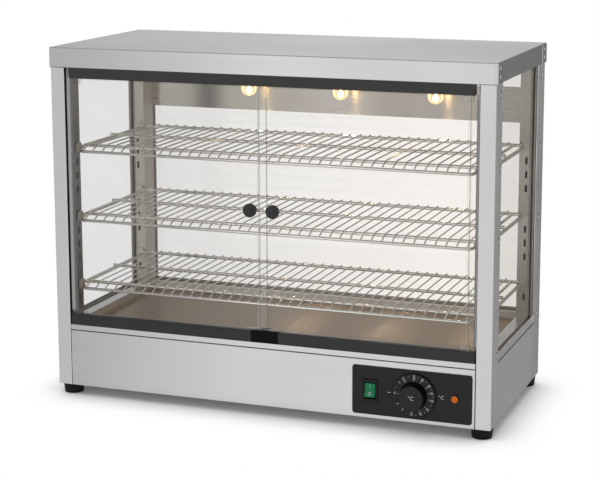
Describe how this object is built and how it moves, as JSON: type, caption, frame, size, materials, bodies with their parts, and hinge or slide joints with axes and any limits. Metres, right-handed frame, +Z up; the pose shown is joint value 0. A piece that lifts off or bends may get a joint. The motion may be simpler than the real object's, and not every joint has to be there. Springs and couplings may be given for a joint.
{
  "type": "heated display case",
  "caption": "Counter-top heated display case: glazed steel cabinet with hinged glass doors, wire shelves, roof lamps and a heated base with a control plate.",
  "frame": {"origin": "centre of the bottom of the bounding box, on the plane the feet stand on", "axes": "+X to the right seen from the front, the case's width and longest extent; +Y from the doors to the back, the shortest extent; +Z up"},
  "size_m": [0.6428, 0.3238, 0.5],
  "materials": {
    "top_cover": "brushed",
    "panel_screws": "brushed",
    "ceiling_plate": "brushed",
    "side_panel_right": "brushed",
    "side_panel_left": "brushed",
    "upright_front_right": "brushed",
    "upright_front_left": "brushed",
    "upright_rear_right": "brushed",
    "upright_rear_left": "brushed",
    "front_panel": "brushed",
    "front_sill": "brushed",
    "rear_panel": "brushed",
    "bottom_plate": "brushed",
    "floor_tray": "brushed",
    "side_sills": "brushed",
    "rear_sill": "brushed",
    "rear_band": "brushed",
    "shelf_supports_right": "brushed",
    "shelf_supports_left": "brushed",
    "element_straps": "brushed",
    "foot_screws": "brushed",
    "left_door_knob_screw": "brushed",
    "right_door_knob_screw": "brushed",
    "left_door_strike": "brushed",
    "right_door_strike": "brushed",
    "thermostat_spindle": "brushed",
    "wire_shelf_bottom": "polished",
    "wire_shelf_middle": "polished",
    "wire_shelf_top": "polished",
    "top_rail": "satin",
    "bottom_rail": "satin",
    "side_glass_right": "polished",
    "side_glass_left": "polished",
    "rear_glass": "polished",
    "left_door_glass": "polished",
    "right_door_glass": "polished",
    "lamp_bulbs": "frosted",
    "lamp_holders": "glazed",
    "glass_seals": "matte",
    "feet": "matte",
    "door_catch": "matte",
    "pivot_bushes": "matte",
    "control_plate": "satin",
    "switch_housing": "matte",
    "switch_rocker": "gloss",
    "thermostat": "satin",
    "thermostat_dial": "matte",
    "thermostat_sensor": "satin",
    "indicator_lens": "gloss",
    "indicator_body": "matte",
    "heating_element": "satin",
    "terminal_block": "satin",
    "wiring": "satin",
    "cable_inlet": "matte",
    "left_door_edge_strip": "clear",
    "left_door_pivots": "clear",
    "left_door_knob": "satin",
    "right_door_edge_strip": "clear",
    "right_door_pivots": "clear",
    "right_door_knob": "satin"
  },
  "bodies": {
    "cabinet": {"top_cover": "top_cover", "panel_screws": "panel_screws", "ceiling_plate": "ceiling_plate", "side_panel_right": "side_panel_right", "side_panel_left": "side_panel_left", "upright_front_right": "upright_front_right", "upright_front_left": "upright_front_left", "upright_rear_right": "upright_rear_right", "upright_rear_left": "upright_rear_left", "front_panel": "front_panel", "front_sill": "front_sill", "rear_panel": "rear_panel", "bottom_plate": "bottom_plate", "floor_tray": "floor_tray", "side_sills": "side_sills", "rear_sill": "rear_sill", "rear_band": "rear_band", "shelf_supports_right": "shelf_supports_right", "shelf_supports_left": "shelf_supports_left", "element_straps": "element_straps", "foot_screws": "foot_screws", "wire_shelf_bottom": "wire_shelf_bottom", "wire_shelf_middle": "wire_shelf_middle", "wire_shelf_top": "wire_shelf_top", "top_rail": "top_rail", "bottom_rail": "bottom_rail", "side_glass_right": "side_glass_right", "side_glass_left": "side_glass_left", "rear_glass": "rear_glass", "lamp_bulbs": "lamp_bulbs", "lamp_holders": "lamp_holders", "glass_seals": "glass_seals", "feet": "feet", "door_catch": "door_catch", "pivot_bushes": "pivot_bushes", "control_plate": "control_plate", "switch_housing": "switch_housing", "thermostat": "thermostat", "thermostat_sensor": "thermostat_sensor", "indicator_lens": "indicator_lens", "indicator_body": "indicator_body", "heating_element": "heating_element", "terminal_block": "terminal_block", "wiring": "wiring", "cable_inlet": "cable_inlet"},
    "left_door": {"left_door_glass": "left_door_glass", "left_door_edge_strip": "left_door_edge_strip", "left_door_knob": "left_door_knob", "left_door_knob_screw": "left_door_knob_screw", "left_door_pivots": "left_door_pivots", "left_door_strike": "left_door_strike"},
    "right_door": {"right_door_glass": "right_door_glass", "right_door_edge_strip": "right_door_edge_strip", "right_door_knob": "right_door_knob", "right_door_knob_screw": "right_door_knob_screw", "right_door_pivots": "right_door_pivots", "right_door_strike": "right_door_strike"},
    "dial": {"thermostat_dial": "thermostat_dial", "thermostat_spindle": "thermostat_spindle"},
    "rocker": {"switch_rocker": "switch_rocker"}
  },
  "joints": [
    {"name": "left_door_hinge", "type": "hinge", "parent": "cabinet", "child": "left_door", "pos_m": [-0.281, -0.1376, 0.28825], "axis": [0, 0, -1], "range_deg": [0, 120]},
    {"name": "right_door_hinge", "type": "hinge", "parent": "cabinet", "child": "right_door", "pos_m": [0.281, -0.1376, 0.28825], "axis": [0, 0, 1], "range_deg": [0, 120]},
    {"name": "dial_turn", "type": "hinge", "parent": "cabinet", "child": "dial", "pos_m": [0.2145, -0.1431, 0.0535], "axis": [0, 1, 0], "range_deg": [0, 300]},
    {"name": "rocker_tilt", "type": "hinge", "parent": "cabinet", "child": "rocker", "pos_m": [0.153, -0.1411, 0.0535], "axis": [1, 0, 0], "range_deg": [0, 18]}
  ]
}
